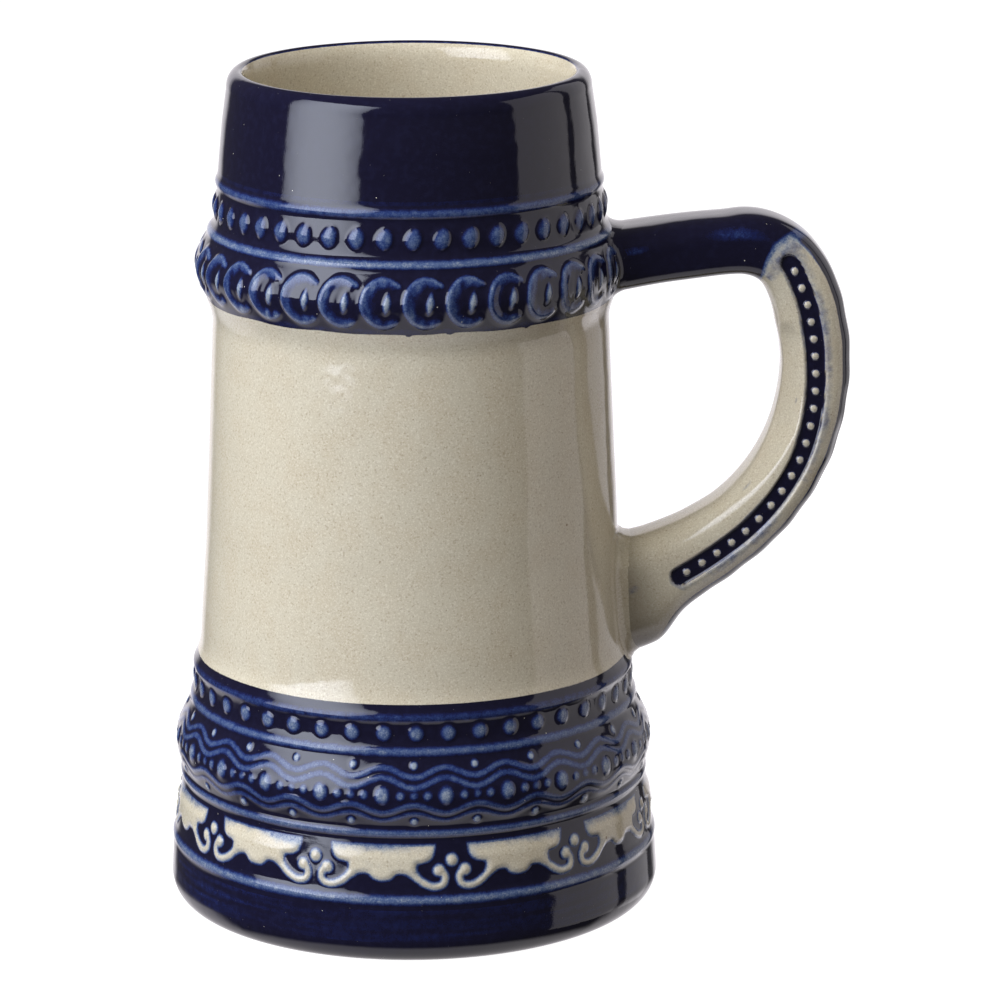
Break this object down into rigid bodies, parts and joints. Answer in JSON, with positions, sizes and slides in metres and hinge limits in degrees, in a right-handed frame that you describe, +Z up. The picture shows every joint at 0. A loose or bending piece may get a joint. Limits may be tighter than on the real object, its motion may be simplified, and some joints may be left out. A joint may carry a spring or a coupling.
{
  "type": "beer stein",
  "caption": "Tall lidless stoneware beer stein: tapered wall, cobalt relief bands top and bottom, coin ring under the rim, bowed side handle.",
  "frame": {"origin": "centre of the whole stein's footprint box, on the surface it stands on; the body's axis is 17.95 mm to the -X side", "axes": "+Z up along the body's axis, +X from the body towards the handle, -Y the side facing a viewer who sees the handle on the right"},
  "size_m": [0.1295, 0.0936, 0.16],
  "materials": {
    "cream_glaze": "gloss",
    "cobalt_glaze": "gloss"
  },
  "bodies": {
    "root": {"stein_body": "cream_glaze", "handle": "cream_glaze", "upper_slip_joint": "cobalt_glaze", "lower_slip_joint": "cream_glaze"}
  },
  "joints": []
}
